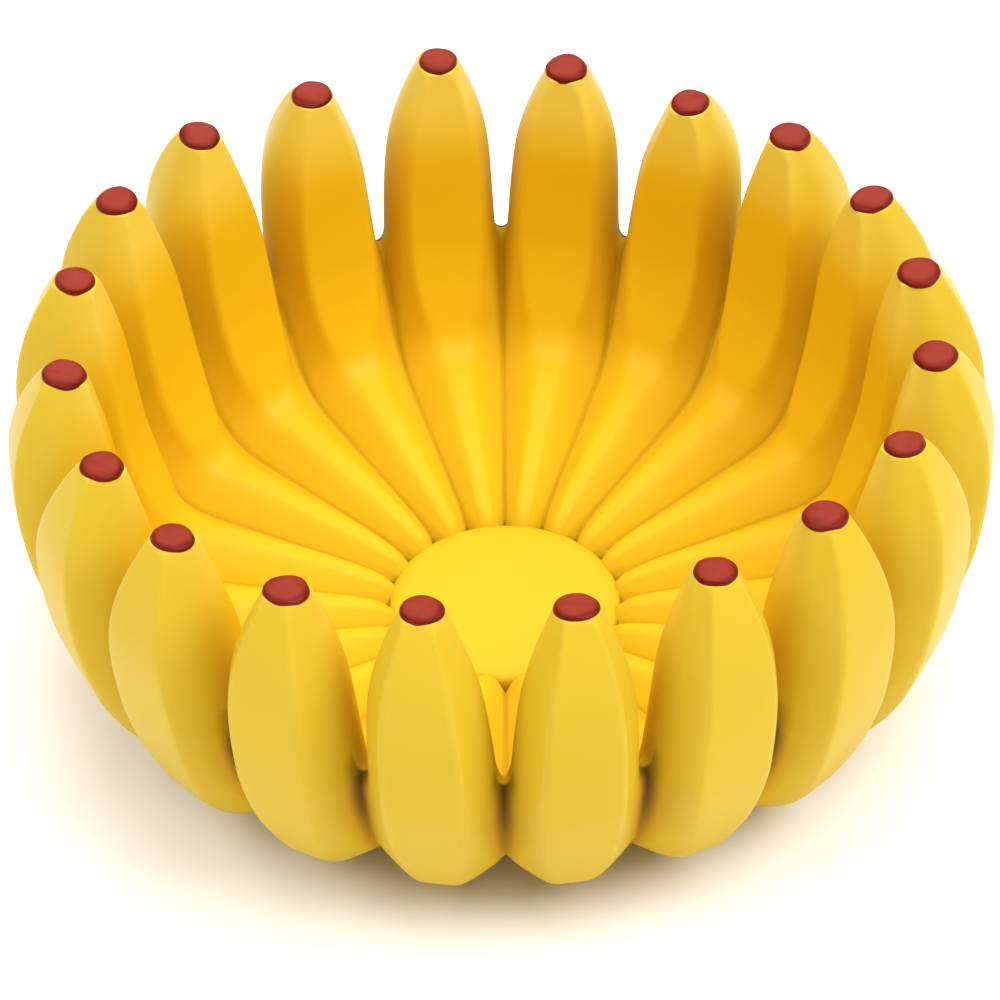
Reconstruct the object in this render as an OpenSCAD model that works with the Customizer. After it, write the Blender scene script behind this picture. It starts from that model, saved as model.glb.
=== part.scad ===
// Fruit bowl moulded as a ring of upright banana fingers.
// The fingers stand side by side, merge in their lower halves and curve in
// under the bowl to a flat round foot. Each finger ends in a red tip cap.
// The origin is the middle of the foot on the table, with +Z up.

/* [Ring] */
// Number of fingers round the bowl
finger_count = 20; // [18:1:22]
// Radius of the circle through the middles of the necks
tip_ring_r = 140; // [134:1:150]
// Height of the necks above the table
neck_z = 137.5; // [126:0.5:150]
// Turn of the first finger from the X axis
first_turn = 9; // [0:1:18]

/* [Finger] */
// Depth of a finger from its outer to its inner side
finger_d = 35.6; // [32:0.2:40]
// Width of a finger above the web
finger_w = 37.8; // [34:0.2:42]
// Width across the neck, right under the tip cap
neck_d = 15.4; // [15:0.2:20]
// Length of the shoulder from the neck to the full finger
shoulder = 45; // [34:1:50]
// How sharply the ridges stand out: 0 is round and 1 is a plain hexagon
ridge = 0.5; // [0.2:0.05:0.8]
// Place of the outer and inner ridges, in degrees from the middle of their side
ridge_at = 37; // [32:1:42]
// Place of the same ridges where the tight bend starts
bend_ridge_at = 18; // [15:1:32]
// Place of the same ridges under the bowl, where they have run together
root_ridge_at = 12; // [10:1:22]
// Place of the edge of a finger's flat side above the web, in the same degrees
side_at = 80; // [72:1:84]
// Place of the same edge from the tight bend on, where the sides stand close
bend_side_at = 66; // [60:1:80]

/* [Curve of the fingers] */
// Lean of the necks toward the middle of the bowl, in degrees
lean = 12; // [6:1:16]
// Slope from the vertical where the long curve ends and the tight bend starts
bend_start = 25; // [18:1:30]
// Radius of the tight bend along the middle of a finger
bend_r = 32; // [27:1:38]
// Width of a finger where the tight bend starts
bend_w = 41.5; // [40:0.5:46]
// Width of a finger where the tight bend ends, under the bowl
root_w = 35; // [32:0.5:40]

/* [Hand-set fingers] */
// How much of the unevenness of the tips is kept: 0 is a regular ring
unevenness = 1; // [0:0.1:1]
// Length below the necks over which the unevenness fades out
uneven_drop = 70; // [50:5:110]

/* [Web and floor] */
// Height of the web's top edge between two fingers
web_z = 68; // [60:1:80]
// Thickness of the web at its top edge
web_lip_t = 4; // [2.4:0.2:6]
// Thickness of the web where the fingers have closed up below it
web_t = 13; // [10:0.5:18]
// Step of the web's lower end toward the outer side of the fingers
web_step = 2; // [0:0.5:5]
// Length of the web along the ring, from finger to finger
web_len = 14; // [12:0.5:18]
// Radius of the flat foot
foot_r = 92; // [80:1:100]
// Height of the foot under the fingers
foot_h = 1.6; // [1:0.2:4]
// Thickness of the floor in the middle of the bowl
floor_t = 18; // [12:0.5:24]
// Radius where the stems of the fingers end under the floor
stem_end_r = 34; // [26:1:44]
// Depth of a stem at its end
stem_end_d = 20; // [16:0.5:24]
// Width of a stem at its end
stem_end_w = 13; // [8:0.5:16]

/* [Tip caps] */
// Diameter of a tip cap
cap_d = 14.4; // [12:0.2:14.6]
// Height of a tip cap's dome
cap_h = 2.4; // [1.4:0.1:4]
// Straight edge under the dome
cap_edge = 0.5; // [0.3:0.1:1]
// Tilt of the tip caps toward the middle of the bowl, in degrees
cap_tilt = 5; // [0:1:10]

/* [Hidden] */
// Rise and fall of each neck against the ring, counter-clockwise from the first finger
tip_lift = [0, -1, -1, -3.5, 0, 2.5, 0, 1.5, 1.5, 1, -1, -3, -2, -1.5, 0.5, 0.5, 1.5, 1, 0, 0.5];
// Sideways turn of each neck in degrees, in the same order
tip_turn = [0.2, 0, 0, -1.2, -0.6, -0.6, 0, 0.2, 0, -0.4, 0.4, 1, 0.4, 0, -0.6, 0.4, 0.6, 0.2, 0, 0.2];
// Step of each neck in or out of the ring, in the same order
tip_reach = [-2, -1.5, -1, -1.5, 0, 1.5, 0, 2, 2, -0.5, 0, 0, 2, 1.5, 0, -0.5, -0.5, -0.5, 1, 0];

turn_step = 360 / finger_count;
degrees_per_radian = 180 / PI;

// Long curve of a finger: its radius follows from the height that is left
bend_drop = bend_r * (1 - sin(bend_start));
curve_drop = neck_z - foot_h - finger_d / 2 - bend_drop;
curve_r = curve_drop / (sin(lean) + sin(bend_start));
curve_len = curve_r * (lean + bend_start) / degrees_per_radian;
bend_centre_r = curve_point(bend_start)[0] - bend_r * cos(bend_start);
bend_centre_z = curve_point(bend_start)[1] + bend_r * sin(bend_start);

// Stations of the loft: close together in the shoulder, wider below it
shoulder_shares = [0, 0.08, 0.2, 0.4, 0.65, 1];
shoulder_power = 0.95;
straight_steps = 3;
bend_steps = 4;
// Length below the neck over which the sections turn square to the curve
neck_level_len = 0.4 * shoulder;

// Shift of the soft flank's edge toward the ridge beside it
flank_shift = 5;

// Slope on the tight bend where the web ends
web_end_slope = bend_start + 12;
web_sides = 12;

// Flat foot, and the hub that laps over the ends of the stems
foot_edge = 1.2;
foot_plate = 8;
hub_r = stem_end_r + 5;
foot_sides = 2 * finger_count;

cap_sides = 48;
dome_step = 15;

function cap_name(i) = str("tip_cap_", i < 10 ? "0" : "", i);
function mix(from, to, share) = from + (to - from) * share;
function clamp(share) = min(1, max(0, share));

// Point [radius, height] on the long curve at a slope from the vertical
function curve_point(slope) =
    [tip_ring_r + curve_r * (cos(slope) - cos(lean)), neck_z - curve_r * (sin(lean) + sin(slope))];

// Point [radius, height] on the tight bend, or at a step outside it
function bend_point(slope, step = 0) =
    [bend_centre_r, bend_centre_z] + (bend_r + step) * [cos(slope), -sin(slope)];

// Slope of the long curve at a length from the neck
function curve_slope(len) = len / curve_r * degrees_per_radian - lean;

// Share of the shoulder's rise that is reached at a length from the neck
function rise(len) = len >= shoulder ? 1 : pow(sin(90 * len / shoulder), shoulder_power);

// Station of the loft: place [radius, height], slope, half depth, half width,
// and the angles of its ridges and of the edges of its flat sides
function curve_station(len) =
    let (
        slope = curve_slope(len),
        levelled = (lean - cap_tilt) * clamp(1 - len / neck_level_len),
        spread = clamp((len - shoulder) / (curve_len - shoulder)),
        depth = mix(neck_d, finger_d, rise(len)),
        width = mix(mix(neck_d, finger_w, rise(len)), bend_w, spread),
        ridge_angle = mix(ridge_at, bend_ridge_at, spread * spread),
        side_angle = mix(side_at, bend_side_at, spread)
    )
    [curve_point(slope), slope + levelled, depth / 2, width / 2, ridge_angle, side_angle];

function bend_station(share) =
    let (
        slope = mix(bend_start, 90, share),
        width = mix(bend_w, root_w, share * share),
        ridge_angle = mix(bend_ridge_at, root_ridge_at, share)
    )
    [bend_point(slope), slope, finger_d / 2, width / 2, ridge_angle, bend_side_at];

stem_end_point = [stem_end_r, foot_h + stem_end_d / 2];
stem_end = [stem_end_point, 90, stem_end_d / 2, stem_end_w / 2, root_ridge_at, bend_side_at];

stations = concat(
    [for (share = shoulder_shares) curve_station(share * shoulder)],
    [for (j = [1:straight_steps]) curve_station(mix(shoulder, curve_len, j / straight_steps))],
    [for (j = [1:bend_steps]) bend_station(j / bend_steps)],
    [stem_end]
);

// Angles of a quarter of a section: a ridge and the edges of the soft facets beside it
function quarter(ridge_angle, side_angle) =
    [ridge_angle / 2, ridge_angle, (90 + ridge_angle) / 2 - flank_shift, side_angle];

// Shrink of the section between its ridges, as a share of the round section
function facet(angle, ridge_angle) =
    let (
        on_front = angle < ridge_angle,
        half = on_front ? ridge_angle : (90 - ridge_angle) / 2,
        middle = on_front ? 0 : (90 + ridge_angle) / 2
    )
    mix(1, cos(half) / cos(angle - middle), ridge);

// Section outline [outward, sideways], as deep and wide as its half sizes say
function section(half_d, half_w, ridge_angle, side_angle) =
    let (
        bare = [for (angle = quarter(ridge_angle, side_angle))
            facet(angle, ridge_angle) * [cos(angle), sin(angle)]],
        last = len(bare) - 1,
        corner = [for (point = bare)
            [half_d * point[0] / bare[0][0], half_w * point[1] / bare[last][1]]]
    )
    concat(
        corner,
        [for (j = [last:-1:0]) [-corner[j][0], corner[j][1]]],
        [for (j = [0:last]) -corner[j]],
        [for (j = [last:-1:0]) [corner[j][0], -corner[j][1]]]
    );

function uneven(list, i) = list[i % len(list)];

// Unevenness that is left at a height, as a share of that at the neck
function uneven_share(z) = unevenness * clamp(1 - (neck_z - z) / uneven_drop);

// Ring of points of one station of one finger
function station_points(i, station) =
    let (
        place = station[0],
        slope = station[1],
        share = uneven_share(place[1]),
        turn = first_turn + i * turn_step + share * uneven(tip_turn, i),
        r = place[0] + share * uneven(tip_reach, i),
        z = place[1] + share * uneven(tip_lift, i)
    )
    [for (point = section(station[2], station[3], station[4], station[5]))
        let (reach = r + point[0] * cos(slope))
        [
            reach * cos(turn) - point[1] * sin(turn),
            reach * sin(turn) + point[1] * cos(turn),
            z - point[0] * sin(slope)
        ]];

// Closed loft over rings of points that have the same count
module loft(rings) {
    count = len(rings[0]);
    last = len(rings) - 1;
    sides = [for (k = [0:last - 1], j = [0:count - 1])
        let (a = k * count + j, b = k * count + (j + 1) % count)
        each [[a, b, b + count], [a, b + count, a + count]]];
    top = [for (j = [1:count - 2]) [0, j + 1, j]];
    bottom = [for (j = [1:count - 2]) [0, j, j + 1] + last * count * [1, 1, 1]];
    polyhedron(points = [for (ring = rings) each ring], faces = concat(sides, top, bottom));
}

// Curved finger from its neck to the end of its stem under the floor
module finger(i) {
    loft([for (station = stations) station_points(i, station)]);
}

// Bar of the web at a point [radius, height], lying along the ring
module web_bar(point, thickness) {
    translate([point[0], 0, point[1]])
        rotate([90, 0, 0])
            cylinder(d = thickness, h = web_len, center = true, $fn = web_sides);
}

// Web that closes the gap after one finger: thin at its top edge, thicker below
module web(i) {
    lip_slope = asin((neck_z - web_z) / curve_r - sin(lean));
    rotate([0, 0, first_turn + (i + 0.5) * turn_step])
        hull() {
            web_bar(curve_point(lip_slope), web_lip_t);
            web_bar(bend_point(web_end_slope, web_step), web_t);
        }
}

// Flat foot on the table and the middle of the floor over it
module floor_and_foot() {
    rotate_extrude($fn = foot_sides)
        polygon([
            [0, 0],
            [foot_r - foot_edge, 0],
            [foot_r, foot_edge],
            [foot_r, foot_plate],
            [hub_r, foot_plate],
            [hub_r, floor_t],
            [0, floor_t]
        ]);
}

module bowl() {
    color("gold")
        union() {
            for (i = [0:finger_count - 1]) {
                finger(i);
                web(i);
            }
            floor_and_foot();
        }
}

// Red cap on the end of one finger, flat underneath and domed on top
module tip_cap(i) {
    turn = first_turn + i * turn_step + unevenness * uneven(tip_turn, i);
    r = tip_ring_r + unevenness * uneven(tip_reach, i);
    z = neck_z + unevenness * uneven(tip_lift, i);
    dome_h = cap_h - cap_edge;
    dome = [for (a = [0:dome_step:90]) [cap_d / 2 * cos(a), cap_edge + dome_h * sin(a)]];
    color("firebrick")
        rotate([0, 0, turn])
            translate([r, 0, z])
                rotate([0, -cap_tilt, 0])
                    rotate_extrude($fn = cap_sides)
                        polygon(concat([[0, 0], [cap_d / 2, 0]], dome));
}

bowl();
for (i = [1:finger_count])
    tip_cap(i - 1);
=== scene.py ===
import math
from collections import namedtuple

import bmesh
import bpy
from mathutils import Matrix, Vector


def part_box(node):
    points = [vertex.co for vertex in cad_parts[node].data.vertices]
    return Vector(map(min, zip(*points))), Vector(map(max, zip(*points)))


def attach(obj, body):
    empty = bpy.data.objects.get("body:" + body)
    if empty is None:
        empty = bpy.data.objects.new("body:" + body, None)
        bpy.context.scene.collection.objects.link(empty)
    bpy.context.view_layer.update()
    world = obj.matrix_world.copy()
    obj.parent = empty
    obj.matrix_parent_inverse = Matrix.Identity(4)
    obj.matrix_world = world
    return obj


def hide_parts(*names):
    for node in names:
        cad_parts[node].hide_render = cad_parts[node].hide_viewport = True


# A serving bowl moulded as a ring of upright banana fingers with red tip caps.
# One finger is drawn out of a ring of points, cut at the planes where it meets its
# neighbours, copied round the bowl and welded into one wall.

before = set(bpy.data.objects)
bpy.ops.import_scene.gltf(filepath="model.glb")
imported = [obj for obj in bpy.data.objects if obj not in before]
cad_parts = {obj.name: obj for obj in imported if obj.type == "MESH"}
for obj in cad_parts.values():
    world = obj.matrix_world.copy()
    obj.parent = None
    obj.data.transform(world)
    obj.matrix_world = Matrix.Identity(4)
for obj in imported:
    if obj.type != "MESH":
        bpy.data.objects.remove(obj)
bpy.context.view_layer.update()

MM = 0.001

# Ring of the fingers, the same as in the CAD frame
CAP_NODES = sorted(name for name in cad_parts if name.startswith("tip_cap_"))
FINGERS = len(CAP_NODES)
TURN_STEP = 2 * math.pi / FINGERS
FIRST_TURN = math.radians(9)
TIP_RING_R = 140 * MM
NECK_Z = 137.5 * MM

# One finger
FINGER_D = 35.3 * MM
FINGER_W = 37.8 * MM
NECK_D = 13.8 * MM
SHOULDER = 45 * MM
SHOULDER_POWER = 0.95
LEAN = math.radians(12)
CAP_TILT = math.radians(5)
BEND_START = math.radians(25)
BEND_R = 32 * MM
BEND_W = 41.5 * MM
ROOT_W = 35 * MM
FOOT_H = 1.6 * MM
STEM_END_R = 34 * MM
STEM_END_D = 20 * MM
STEM_END_W = 13 * MM

# The long curve of a finger follows from the height that is left
BEND_DROP = BEND_R * (1 - math.sin(BEND_START))
CURVE_DROP = NECK_Z - FOOT_H - FINGER_D / 2 - BEND_DROP
CURVE_R = CURVE_DROP / (math.sin(LEAN) + math.sin(BEND_START))
CURVE_LEN = CURVE_R * (LEAN + BEND_START)
LEVEL_LEN = 0.4 * SHOULDER

# Web between two fingers: its top, the fin that each side is drawn out into, and their seam
WEB_Z = 68 * MM
FIN_REACH = 6 * MM
FIN_THIN = 0.35
FIN_LIP = 0.15
WELD = 0.004 * MM
SEAM_BAND = 2 * MM
SEAM_SMOOTHING = 2

# Rings of a finger: lengths from its neck and from the top of the web, shares of its bend and stem
NECK_RINGS = [length * MM for length in (1.2, 4, 8, 14, 22, 33, 48)]
WEB_RINGS = [length * MM for length in (-4, 0, 8, 18)]
BEND_SHARES = (0.25, 0.5, 0.75, 1)
STEM_SHARES = (0.5, 1)
RING_POINTS = 16
SMOOTH_LEVELS = 2
SMOOTH_GROWTH = 1.006
NECK_EDGE = 0.7 * MM

# Section of a finger: its ridges run together and its sides get flatter on the way down
RIDGE = 0.9
RIDGE_AT = math.radians(37)
BEND_RIDGE_AT = math.radians(18)
ROOT_RIDGE_AT = math.radians(12)
SIDE_AT = math.radians(80)
BEND_SIDE_AT = math.radians(66)
FLANK_SHIFT = math.radians(5)
RIDGE_CREASE = 0.5
INNER_CREASE = 0.3

# Numbers of the ridge and of the side among the four points in a quarter of a section
CORNER, SIDE = 1, 3

# Differences that still count as none
SHARE_SLACK = 0.05
LEVEL_SLACK = 0.001 * MM
CUT_SLACK = 0.0001 * MM

# Middle of the floor and the foot: profiles as [radius, height]
HUB_R = 39 * MM
HUB_PROFILE = [(HUB_R, 2 * MM), (HUB_R, 15.5 * MM)] + [
    (r * MM, z * MM) for r, z in ((38.5, 16.8), (37, 17.8), (33, 18.6), (20, 19.6), (8, 20))
]
FOOT_PROFILE = [(r * MM, z * MM) for r, z in ((90.8, 0), (92, 1.2), (92, 8), (60, 9))]
DISC_POINTS = 6 * FINGERS
DISC_EDGE = math.radians(40)

# Tip caps: side, edge and top as [share of the radius, share of the height]
CAP_R = 7.25 * MM
CAP_H = 2.4 * MM
CAP_DOME = ((1.02, 0.1), (1.0, 0.45), (0.9, 0.78), (0.7, 0.94), (0.4, 1.0))
CAP_POINTS = 11
CAP_SINK = 0.9 * MM
CAP_PROFILE = [(CAP_R, -CAP_SINK)] + [(CAP_R * share, CAP_H * height) for share, height in CAP_DOME]
CAP_LOW = 0.45 * MM
CAP_UNEVEN = 0.7 * MM
CAP_SQUASH = 0.06

# Camera, from the places of the tips in the photograph
PHOTO_WIDTH = 1000
FOCAL_PIXELS = 4565
SENSOR = 36
CAMERA_FAR = 10.46 * TIP_RING_R
CAMERA_RISE = math.radians(38.67)
CAMERA_ROUND = math.radians(0.6)
CAMERA_ROLL = math.radians(1.18)
CAMERA_YAW = math.radians(0.035)
CAMERA_TILT = math.radians(-2.237)
CAMERA_REACH = 20

# Floor and white walls
FLOOR_WIDTH = 14
WALL_GLOW = 0.4

Ring = namedtuple("Ring", "r z slope half_d half_w ridge_at side_at")


# Modelling by hand

def clamp(share):
    return min(1, max(0, share))


def mix(start, end, share):
    return start + (end - start) * share


def open_piece(name):
    """Names the primitive that was just added and opens it in edit mode."""
    piece = bpy.context.object
    piece.name = piece.data.name = name
    bpy.ops.object.transform_apply(location=True, rotation=True, scale=True)
    bpy.ops.object.mode_set(mode="EDIT")
    return piece


def close_piece():
    bpy.ops.mesh.select_mode(type="VERT")
    bpy.ops.mesh.select_all(action="SELECT")
    bpy.ops.mesh.normals_make_consistent(inside=False)
    bpy.ops.object.mode_set(mode="OBJECT")


def choose(piece, part, test):
    """Selects the verts, edges or faces of a mesh in edit mode that pass a test."""
    bpy.ops.mesh.select_mode(type={"verts": "VERT", "edges": "EDGE", "faces": "FACE"}[part])
    bpy.ops.mesh.select_all(action="DESELECT")
    mesh = bmesh.from_edit_mesh(piece.data)
    for item in getattr(mesh, part):
        if test(item):
            item.select_set(True)
    mesh.select_flush_mode()
    bmesh.update_edit_mesh(piece.data)


def only(piece):
    bpy.ops.object.select_all(action="DESELECT")
    piece.select_set(True)
    bpy.context.view_layer.objects.active = piece


def smooth_out(piece):
    """Applies a subdivision surface to a finished cage."""
    only(piece)
    smoother = piece.modifiers.new("smoother", "SUBSURF")
    smoother.levels = SMOOTH_LEVELS
    smoother.render_levels = SMOOTH_LEVELS
    bpy.ops.object.modifier_apply(modifier=smoother.name)


def copy_of(piece, name):
    twin = piece.copy()
    twin.data = piece.data.copy()
    twin.name = twin.data.name = name
    bpy.context.scene.collection.objects.link(twin)
    only(twin)
    return twin


def join(pieces, name):
    """Joins pieces into the first of them."""
    only(pieces[0])
    for piece in pieces:
        piece.select_set(True)
    bpy.ops.object.join()
    whole = bpy.context.object
    whole.name = whole.data.name = name
    return whole


def settle(piece, place=(0, 0, 0), turn=(0, 0, 0)):
    """Moves and turns a piece, and puts its place into its mesh."""
    only(piece)
    piece.location = place
    piece.rotation_euler = turn
    bpy.ops.object.transform_apply(location=True, rotation=True, scale=True)


def remember(piece, name, measure):
    """Keeps a measure of each point, which a material reads later."""
    values = piece.data.attributes.new(name, "FLOAT", "POINT").data
    for vert in piece.data.vertices:
        values[vert.index].value = measure(vert.co)


# Rings that a finger is drawn through

def section(ring):
    """Places of the points in a quarter of a ring, as shares of its half depth and half width."""
    def place(angle):
        on_front = angle <= ring.ridge_at
        half = ring.ridge_at if on_front else (math.pi / 2 - ring.ridge_at) / 2
        middle = 0 if on_front else (math.pi / 2 + ring.ridge_at) / 2
        reach = mix(1, math.cos(half) / math.cos(angle - middle), RIDGE)
        return reach * math.cos(angle), reach * math.sin(angle)
    flank = (math.pi / 2 + ring.ridge_at) / 2 - FLANK_SHIFT
    bare = [place(angle) for angle in (ring.ridge_at / 2, ring.ridge_at, flank, ring.side_at)]
    return [(deep / bare[0][0], wide / bare[-1][1]) for deep, wide in bare]


def curve_ring(length):
    """Ring on the long curve of a finger, at a length from its neck."""
    slope = length / CURVE_R - LEAN
    rise = math.sin(math.pi / 2 * clamp(length / SHOULDER)) ** SHOULDER_POWER
    spread = clamp((length - SHOULDER) / (CURVE_LEN - SHOULDER))
    levelled = (LEAN - CAP_TILT) * clamp(1 - length / LEVEL_LEN)
    return Ring(
        TIP_RING_R + CURVE_R * (math.cos(slope) - math.cos(LEAN)),
        NECK_Z - CURVE_R * (math.sin(LEAN) + math.sin(slope)),
        slope + levelled,
        mix(NECK_D, FINGER_D, rise) / 2,
        mix(mix(NECK_D, FINGER_W, rise), BEND_W, spread) / 2 * SMOOTH_GROWTH,
        mix(RIDGE_AT, BEND_RIDGE_AT, spread * spread),
        mix(SIDE_AT, BEND_SIDE_AT, spread),
    )


def bend_ring(share):
    """Ring on the tight bend that carries a finger in under the bowl."""
    start = curve_ring(CURVE_LEN)
    slope = mix(BEND_START, math.pi / 2, share)
    return Ring(
        start.r + BEND_R * (math.cos(slope) - math.cos(BEND_START)),
        start.z - BEND_R * (math.sin(slope) - math.sin(BEND_START)),
        slope,
        FINGER_D / 2,
        mix(BEND_W, ROOT_W, share * share) / 2 * SMOOTH_GROWTH,
        mix(BEND_RIDGE_AT, ROOT_RIDGE_AT, share),
        BEND_SIDE_AT,
    )


def stem_ring(share):
    """Ring on the stem that lies under the floor of the bowl."""
    half_d = mix(FINGER_D, STEM_END_D, share) / 2
    return Ring(
        mix(bend_ring(1).r, STEM_END_R, share),
        FOOT_H + half_d,
        math.pi / 2,
        half_d,
        mix(ROOT_W, STEM_END_W, share) / 2,
        ROOT_RIDGE_AT,
        BEND_SIDE_AT,
    )


WEB_LEN = CURVE_R * (math.asin((NECK_Z - WEB_Z) / CURVE_R - math.sin(LEAN)) + LEAN)


def finger_rings():
    web_lengths = [WEB_LEN + length for length in WEB_RINGS]
    rings = [curve_ring(length) for length in [0, *NECK_RINGS, *web_lengths, CURVE_LEN]]
    rings += [bend_ring(share) for share in BEND_SHARES]
    return rings + [stem_ring(share) for share in STEM_SHARES]


# The wall of fingers

def reshape(piece, ring, places):
    """Moves the points of a level ring from some places of a quarter to those of its own section."""
    def level(vert):
        return abs(vert.co.z - ring.z) < LEVEL_SLACK and abs(vert.co.x - ring.r) < FINGER_D
    for (old_deep, old_wide), (deep, wide) in zip(places, section(ring)):
        choose(
            piece, "verts",
            lambda v: level(v) and abs(abs(v.co.y) / ring.half_w - old_wide) < SHARE_SLACK,
        )
        bpy.ops.transform.resize(
            value=(deep / old_deep, wide / old_wide, 1),
            orient_type="GLOBAL",
            center_override=(ring.r, 0, ring.z),
        )
    choose(piece, "verts", level)


def dip_ring(ring, angle):
    """Turns the selected ring so that its outer side goes down by an angle."""
    bpy.ops.transform.rotate(
        value=-angle, orient_axis="Y", orient_type="GLOBAL", center_override=(ring.r, 0, ring.z)
    )


def draw_on(piece, last, ring):
    """Draws the selected ring on to the next one."""
    bpy.ops.mesh.extrude_region_move(
        TRANSFORM_OT_translate={"value": (ring.r - last.r, 0, ring.z - last.z)}
    )
    dip_ring(ring, -last.slope)
    bpy.ops.transform.resize(
        value=(ring.half_d / last.half_d, ring.half_w / last.half_w, 1),
        orient_type="GLOBAL",
        center_override=(ring.r, 0, ring.z),
    )
    if section(ring) != section(last):
        reshape(piece, ring, section(last))
    dip_ring(ring, ring.slope)


def ring_of(point, rings):
    """Number of the ring that a point of the cage lies on."""
    def off_plane(ring):
        depth = (point.x - ring.r) * math.sin(ring.slope) + (point.z - ring.z) * math.cos(ring.slope)
        return abs(depth) + max(0, math.hypot(point.x - ring.r, point.z - ring.z) - FINGER_D)
    return min(range(len(rings)), key=lambda number: off_plane(rings[number]))


def outward(point, rings):
    """How far a point lies from the middle of its finger toward the outside of the bowl."""
    ring = rings[ring_of(point, rings)]
    return (point.x - ring.r) * math.cos(ring.slope) - (point.z - ring.z) * math.sin(ring.slope)


def points_at(piece, rings, place):
    """Points of the cage at one place of a section's quarter, as {point: ring number}."""
    mesh = bmesh.from_edit_mesh(piece.data)
    found = {}
    for vert in mesh.verts:
        number = ring_of(vert.co, rings)
        wide = section(rings[number])[place][1]
        if abs(abs(vert.co.y) / rings[number].half_w - wide) < SHARE_SLACK:
            found[vert.index] = number
    return found


def first_of_bend(rings):
    """Number of the first ring on the tight bend."""
    return len(rings) - len(STEM_SHARES) - len(BEND_SHARES)


def grow_fin(piece, rings, side, web_ring):
    """Draws the side of a finger out into the web toward its neighbour, thinner at its end."""
    sides = points_at(piece, rings, SIDE)
    last = first_of_bend(rings)

    def on_web(face):
        return len(face.verts) == 4 and all(
            v.co.y * side > 0 and web_ring <= sides.get(v.index, -1) <= last for v in face.verts
        )
    choose(piece, "faces", on_web)
    bpy.ops.mesh.extrude_region_move(TRANSFORM_OT_translate={"value": (0, side * FIN_REACH, 0)})
    for number in range(web_ring, last + 1):
        ring = rings[number]
        fin_end = ring.half_w + FIN_REACH / 2
        choose(piece, "verts", lambda v: v.co.y * side > fin_end and ring_of(v.co, rings) == number)
        thin = FIN_LIP if number == web_ring else FIN_THIN
        bpy.ops.transform.resize(
            value=(thin, 1, thin), orient_type="GLOBAL", center_override=(ring.r, 0, ring.z)
        )


def finger():
    """One finger in the XZ plane, cut at the planes half way to its neighbours."""
    rings = finger_rings()
    neck = rings[0]
    bpy.ops.object.select_all(action="DESELECT")
    bpy.ops.mesh.primitive_circle_add(
        vertices=RING_POINTS,
        radius=neck.half_w,
        fill_type="NGON",
        location=(neck.r, 0, neck.z),
        rotation=(0, 0, math.pi / RING_POINTS),
    )
    piece = open_piece("finger")
    angles = [math.pi / RING_POINTS * step for step in (1, 3, 5, 7)]
    reshape(piece, neck, [(math.cos(angle), math.sin(angle)) for angle in angles])
    dip_ring(neck, neck.slope)
    for last, ring in zip(rings, rings[1:]):
        draw_on(piece, last, ring)

    choose(piece, "faces", lambda f: len(f.verts) == RING_POINTS and f.calc_center_median().z > NECK_Z - MM)
    bpy.ops.mesh.inset(thickness=NECK_EDGE)
    ridges = points_at(piece, rings, CORNER)
    bend = first_of_bend(rings)

    def on_ridge(vert):
        return 0 < ridges.get(vert.index, bend) < bend
    choose(piece, "edges", lambda e: all(on_ridge(v) for v in e.verts))
    bpy.ops.transform.edge_crease(value=RIDGE_CREASE)
    choose(piece, "edges", lambda e: all(on_ridge(v) and outward(v.co, rings) < 0 for v in e.verts))
    bpy.ops.transform.edge_crease(value=INNER_CREASE)
    web_ring = 1 + len(NECK_RINGS) + WEB_RINGS.index(0)
    grow_fin(piece, rings, 1, web_ring)
    grow_fin(piece, rings, -1, web_ring)
    close_piece()
    smooth_out(piece)

    bpy.ops.object.mode_set(mode="EDIT")
    for side in (1, -1):
        bpy.ops.mesh.select_all(action="SELECT")
        bpy.ops.mesh.bisect(
            plane_co=(0, 0, 0),
            plane_no=(-math.sin(TURN_STEP / 2), side * math.cos(TURN_STEP / 2), 0),
            clear_outer=True,
            threshold=CUT_SLACK,
        )
    bpy.ops.object.mode_set(mode="OBJECT")
    remember(piece, "outward", lambda place: outward(place, rings))
    return piece


def cap_seat(node):
    """Middle of the seat of a tip cap."""
    low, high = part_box(node)
    seat = (low + high) / 2
    seat.z = high.z - CAP_H * math.cos(CAP_TILT)
    return seat


def wall():
    """All the fingers, each with the small shift of its neck, welded into one wall."""
    pattern = finger()
    copies = []
    for number, node in enumerate(CAP_NODES):
        turn = FIRST_TURN + number * TURN_STEP
        shift = Matrix.Rotation(-turn, 3, "Z") @ cap_seat(node) - Vector((TIP_RING_R, 0, NECK_Z))
        copy = copy_of(pattern, f"finger_{number + 1:02}")
        bpy.ops.object.mode_set(mode="EDIT")
        choose(copy, "verts", lambda v: v.co.z > NECK_Z - NECK_EDGE)
        bpy.ops.transform.translate(
            value=shift,
            use_proportional_edit=True,
            proportional_edit_falloff="SMOOTH",
            proportional_size=NECK_Z - WEB_Z,
        )
        bpy.ops.object.mode_set(mode="OBJECT")
        settle(copy, turn=(0, 0, turn))
        copies.append(copy)
    bpy.data.objects.remove(pattern)
    piece = join(copies, "banana_wall")
    bpy.ops.object.mode_set(mode="EDIT")
    bpy.ops.mesh.select_all(action="SELECT")
    bpy.ops.mesh.remove_doubles(threshold=WELD)

    def near_seam(vert):
        turns = (math.atan2(vert.co.y, vert.co.x) - FIRST_TURN) / TURN_STEP + 0.5
        away = abs(turns - round(turns)) * TURN_STEP * math.hypot(vert.co.x, vert.co.y)
        return away < SEAM_BAND and vert.co.z < WEB_Z + SEAM_BAND
    choose(piece, "verts", near_seam)
    bpy.ops.mesh.vertices_smooth(factor=0.5, repeat=SEAM_SMOOTHING)
    close_piece()
    bpy.ops.object.shade_smooth()
    return piece


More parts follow.
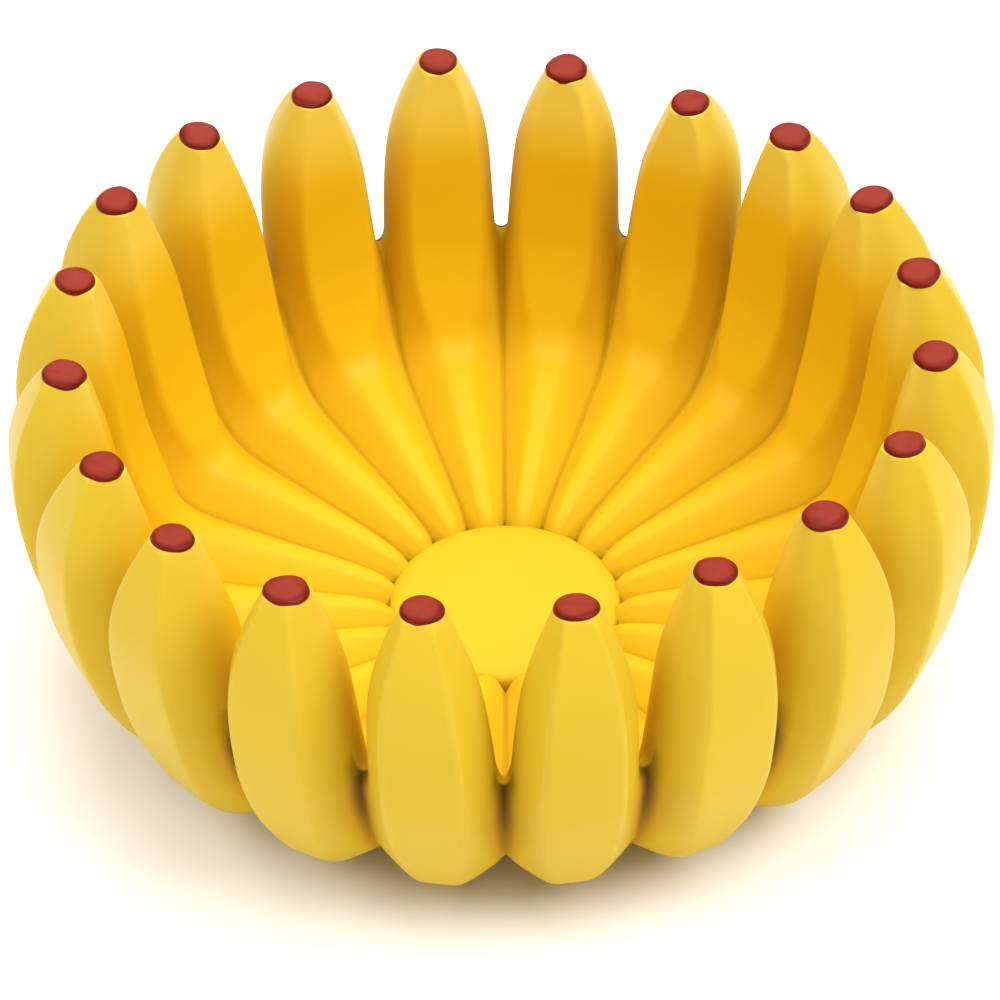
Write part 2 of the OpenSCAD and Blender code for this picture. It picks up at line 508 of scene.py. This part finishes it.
def disc(name, points, profile):
    """Closed disc with a number of points round it, drawn up through a profile of [radius, height]."""
    start_r, start_z = profile[0]
    bpy.ops.object.select_all(action="DESELECT")
    bpy.ops.mesh.primitive_circle_add(
        vertices=points, radius=start_r, fill_type="NGON", location=(0, 0, start_z)
    )
    piece = open_piece(name)
    bpy.ops.mesh.select_all(action="SELECT")
    for (last_r, last_z), (r, z) in zip(profile, profile[1:]):
        bpy.ops.mesh.extrude_region_move(TRANSFORM_OT_translate={"value": (0, 0, z - last_z)})
        bpy.ops.transform.resize(value=(r / last_r, r / last_r, 1), center_override=(0, 0, z))
    close_piece()
    return piece


def bowl():
    """The wall, the hub in the middle of the floor and the foot, as one casting."""
    pieces = [wall()]
    for name, profile in (("floor_hub", HUB_PROFILE), ("foot", FOOT_PROFILE)):
        pieces.append(disc(name, DISC_POINTS, profile))
        bpy.ops.object.shade_smooth_by_angle(angle=DISC_EDGE)
    return join(pieces, "banana_bowl")


# The tip caps

def tip_caps():
    """Softly uneven caps, each with its own outline, on the seats that the frame gives."""
    cage = disc("cap_cage", CAP_POINTS, CAP_PROFILE)
    caps = []
    for number, node in enumerate(CAP_NODES):
        cap = copy_of(cage, f"red_tip_{number + 1:02}")
        bpy.ops.object.mode_set(mode="EDIT")
        bpy.ops.mesh.select_all(action="SELECT")
        bpy.ops.transform.resize(
            value=(1 + CAP_SQUASH * math.sin(2 * number), 1 + CAP_SQUASH * math.cos(3 * number), 1)
        )
        bpy.ops.transform.vertex_random(offset=CAP_UNEVEN, seed=number + 1)
        bpy.ops.object.mode_set(mode="OBJECT")
        smooth_out(cap)
        remember(cap, "above_neck", lambda place: place.z)
        seat = cap_seat(node)
        seat.z -= CAP_LOW
        settle(cap, place=seat, turn=(0, -CAP_TILT, math.atan2(seat.y, seat.x)))
        bpy.ops.object.shade_smooth()
        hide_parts(node)
        caps.append(cap)
    bpy.data.objects.remove(cage)
    return caps


# Materials

class Value:
    """A socket of a material. Arithmetic on it adds Math nodes."""

    def __init__(self, finish, socket):
        self.finish = finish
        self.socket = socket

    def math(self, operation, *others):
        return self.finish.node("ShaderNodeMath", {"operation": operation}, dict(enumerate((self, *others))))

    def __add__(self, other):
        return self.math("ADD", other)

    def __sub__(self, other):
        return self.math("SUBTRACT", other)

    def __rsub__(self, other):
        return self.finish.node("ShaderNodeMath", {"operation": "SUBTRACT"}, {0: other, 1: self})

    def __mul__(self, other):
        return self.math("MULTIPLY", other)

    def __truediv__(self, other):
        return self.math("DIVIDE", other)

    __radd__ = __add__
    __rmul__ = __mul__


class Finish:
    """A material that is built from expressions on its values."""

    def __init__(self, name):
        self.material = bpy.data.materials.new(name)
        self.material.use_nodes = True
        self.tree = self.material.node_tree
        self.shader = self.tree.nodes["Principled BSDF"]

    def node(self, kind, settings, inputs, out=0):
        """Adds a node: its settings first, then values or links for its sockets."""
        node = self.tree.nodes.new(kind)
        for name, value in settings.items():
            setattr(node, name, value)
        for key, value in inputs.items():
            if isinstance(value, Value):
                self.tree.links.new(value.socket, node.inputs[key])
            else:
                node.inputs[key].default_value = value
        return Value(self, node.outputs[out])

    def place(self):
        """Place of a point on its piece, in metres."""
        return self.node("ShaderNodeTexCoord", {}, {}, "Object")

    def parts(self, vector):
        return [self.node("ShaderNodeSeparateXYZ", {}, {0: vector}, axis) for axis in "XYZ"]

    def measure(self, name):
        return self.node("ShaderNodeAttribute", {"attribute_name": name}, {}, "Fac")

    def fade(self, value, start, end):
        """0 before the start and 1 after the end, with a soft step between them."""
        return self.node(
            "ShaderNodeMapRange",
            {"interpolation_type": "SMOOTHSTEP"},
            {"Value": value, "From Min": start, "From Max": end},
        )

    def noise(self, vector, scale, detail=2):
        inputs = {"Vector": vector, "Scale": scale, "Detail": detail}
        return self.node("ShaderNodeTexNoise", {}, inputs, "Fac")

    def blend(self, share, first, second):
        return self.node("ShaderNodeMix", {"data_type": "RGBA"}, {0: share, 6: first, 7: second}, 2)

    def bump(self, height, distance, strength):
        return self.node("ShaderNodeBump", {}, {"Height": height, "Distance": distance, "Strength": strength})

    def set(self, **values):
        for name, value in values.items():
            socket = self.shader.inputs[name.replace("_", " ").title().replace("Ior", "IOR")]
            if isinstance(value, Value):
                self.tree.links.new(value.socket, socket)
            else:
                socket.default_value = value


def yellow_resin():
    """Satin yellow casting: soft mottling, with painted light and shade: a painted highlight near the tips
    inside, painted shade on the outer tops, a deeper orange on the inner faces, and painted brown shade in
    the creases.
    """
    finish = Finish("yellow_resin")
    place = finish.place()
    x, y, z = finish.parts(place)
    radius = (x * x + y * y).math("SQRT")
    turns = (y.math("ARCTAN2", x) - FIRST_TURN) / TURN_STEP
    aside = (turns - turns.math("ROUND")).math("ABSOLUTE")
    crease_gap = (0.5 - aside) * TURN_STEP * radius
    height = finish.fade(z, 12 * MM, 60 * MM)
    off_hub = finish.fade(radius, HUB_R, HUB_R + 6 * MM)
    outward_by = finish.measure("outward")
    outside = finish.fade(outward_by, -1.2 * MM, 0.2 * MM)
    facing_in = 1 - finish.fade(outward_by, -20 * MM, 8 * MM)
    # Painted shade: a broad darkening either side of each crease, below the top of the web, where the fingers
    # shade each other.
    shade = 1 - finish.fade(crease_gap / (4 * MM + height * (6 * MM)), 0, 1)
    shade = shade * off_hub * outside * (1 - finish.fade(z, WEB_Z - 15 * MM, WEB_Z + 12 * MM))
    # Painted shadow: a thin dark brown line at the bottom of each crease, wider up the wall and ending just
    # above the web.
    crease_shadow_line = 1 - finish.fade(crease_gap / (1.2 * MM + height * (1.6 * MM + outside * (1.6 * MM))), 0, 1)
    crease_shadow_line = crease_shadow_line * off_hub * (1 - finish.fade(z, WEB_Z + 6 * MM, WEB_Z + 10 * MM))

    patches = finish.fade(finish.noise(place, 16), 0.35, 0.7)
    body = finish.blend(patches * 0.5, (0.635, 0.435, 0.014, 1), (0.6, 0.395, 0.009, 1))
    # Painted light: the inner faces are tinted a deeper orange, standing in for the shade and yellow bounced
    # light inside the bowl.
    body = finish.blend(facing_in * 0.9, body, (0.74, 0.44, 0.006, 1))
    # Painted shade: the outer faces near the tips are dulled, toning down the light that falls on them from
    # above.
    painted_top_shade = finish.fade(z, 85 * MM, 125 * MM) * (1 - facing_in)
    body = finish.blend(painted_top_shade * 0.35, body, (0.58, 0.4, 0.04, 1))
    # Painted highlight: the inner faces just below the tips are paler, where light from above catches them.
    painted_highlight = finish.fade(z, 105 * MM, 136 * MM) * facing_in
    body = finish.blend(painted_highlight * 0.85, body, (0.86, 0.68, 0.11, 1))
    # Painted shade along the creases.
    body = finish.blend(shade * 0.8, body, (0.48, 0.225, 0.001, 1))
    # The painted crease shadow goes from golden brown low down to near black higher up the outer wall.
    deep = finish.fade(z, 20 * MM, WEB_Z - 2 * MM) * outside
    crease_shadow_colour = finish.blend(deep, (0.48, 0.24, 0.001, 1), (0.085, 0.03, 0.001, 1))
    body = finish.blend(crease_shadow_line * (0.6 + outside * 0.35), body, crease_shadow_colour)

    grain = finish.noise(place, 60, 3)
    waves = finish.noise(place, 30, 1)
    rough_creases = finish.fade(aside, 0.24, 0.46) * off_hub
    finish.set(
        base_color=body,
        roughness=0.32 + grain * 0.1 + rough_creases * 0.4 + (1 - height) * 0.2,
        specular_ior_level=0.16,
        normal=finish.bump(grain * 0.3 + waves * 2, 0.4 * MM, 0.35),
    )
    return finish.material


def red_lacquer():
    """Satin brick red of the tip caps, with a painted highlight on the top and painted shade where it ends on
    the neck.
    """
    finish = Finish("red_lacquer")
    above = finish.measure("above_neck")
    cloud = finish.noise(finish.place(), 180, 3)
    body = finish.blend(finish.fade(cloud, 0.35, 0.65), (0.17, 0.009, 0.003, 1), (0.13, 0.006, 0.002, 1))
    # Painted highlight: the top of each cap is lighter, where light from above falls on it.
    top = finish.fade(above + cloud * (0.4 * MM), 1.8 * MM, 2.5 * MM)
    body = finish.blend(top, body, (0.25, 0.02, 0.006, 1))
    # Painted shade: a dark brown line at the cap's lower edge, where it meets the neck.
    edge = 1 - finish.fade(above + cloud * (0.5 * MM), 0.1 * MM, 0.7 * MM)
    body = finish.blend(edge * 0.7, body, (0.08, 0.006, 0.001, 1))
    finish.set(
        base_color=body,
        roughness=0.34 + cloud * 0.12,
        specular_ior_level=0.12,
        normal=finish.bump(cloud, 0.3 * MM, 0.2),
    )
    return finish.material


def pale_floor():
    finish = Finish("pale_floor")
    cloud = finish.noise(finish.place(), 3)
    finish.set(
        base_color=finish.blend(cloud, (0.96, 0.95, 0.93, 1), (0.94, 0.93, 0.91, 1)),
        roughness=0.8,
        specular_ior_level=0.2,
    )
    return finish.material


# Camera, floor and light

def camera():
    """The photograph's camera, aimed at the middle of the ring of necks and then turned a little."""
    view = bpy.data.cameras.new("camera")
    view.sensor_width = SENSOR
    view.lens = FOCAL_PIXELS * SENSOR / PHOTO_WIDTH
    view.clip_end = CAMERA_REACH
    back = Vector((0, -math.cos(CAMERA_RISE), math.sin(CAMERA_RISE))) * CAMERA_FAR
    aim = Matrix.Rotation(math.pi / 2 - CAMERA_RISE, 3, "X")
    yaw = Matrix.Rotation(CAMERA_YAW, 3, "Y")
    tilt = Matrix.Rotation(CAMERA_TILT, 3, "X")
    roll = Matrix.Rotation(-CAMERA_ROLL, 3, "Z")
    round_bowl = Matrix.Rotation(CAMERA_ROUND, 3, "Z")
    turn = round_bowl @ aim @ yaw @ tilt @ roll
    holder = bpy.data.objects.new("camera", view)
    holder.matrix_world = turn.to_4x4()
    holder.location = round_bowl @ back + Vector((0, 0, NECK_Z))
    bpy.context.scene.collection.objects.link(holder)
    bpy.context.scene.camera = holder


def floor():
    bpy.ops.object.select_all(action="DESELECT")
    bpy.ops.mesh.primitive_plane_add(size=FLOOR_WIDTH)
    plane = bpy.context.object
    plane.name = "pale_floor"
    plane.data.materials.append(pale_floor())


def soft_light(name, turn, rise, spread, power):
    """A far, soft light that comes from a turn about the bowl and a rise above the floor, in degrees."""
    light = bpy.data.lights.new(name, "SUN")
    light.angle = math.radians(spread)
    light.energy = power
    holder = bpy.data.objects.new(name, light)
    holder.rotation_euler = (0, math.radians(90 - rise), math.radians(turn))
    bpy.context.scene.collection.objects.link(holder)


def studio():
    """Soft boxes round the bowl and over it, and white walls."""
    soft_light("right", turn=-15, rise=50, spread=40, power=2.05)
    soft_light("left", turn=-165, rise=50, spread=40, power=1.3)
    soft_light("behind", turn=90, rise=50, spread=40, power=1.1)
    soft_light("front", turn=-80, rise=62, spread=22, power=0.35)
    soft_light("overhead", turn=-20, rise=85, spread=35, power=0.85)
    world = bpy.data.worlds.new("studio")
    world.use_nodes = True
    world.node_tree.nodes["Background"].inputs["Color"].default_value = (1, 1, 1, 1)
    world.node_tree.nodes["Background"].inputs["Strength"].default_value = WALL_GLOW
    bpy.context.scene.world = world
    bpy.context.scene.view_settings.view_transform = "Standard"


camera()
floor()
studio()

casting = bowl()
casting.data.materials.append(yellow_resin())
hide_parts("bowl")
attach(casting, "root")

lacquer = red_lacquer()
for cap in tip_caps():
    cap.data.materials.append(lacquer)
    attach(cap, "root")
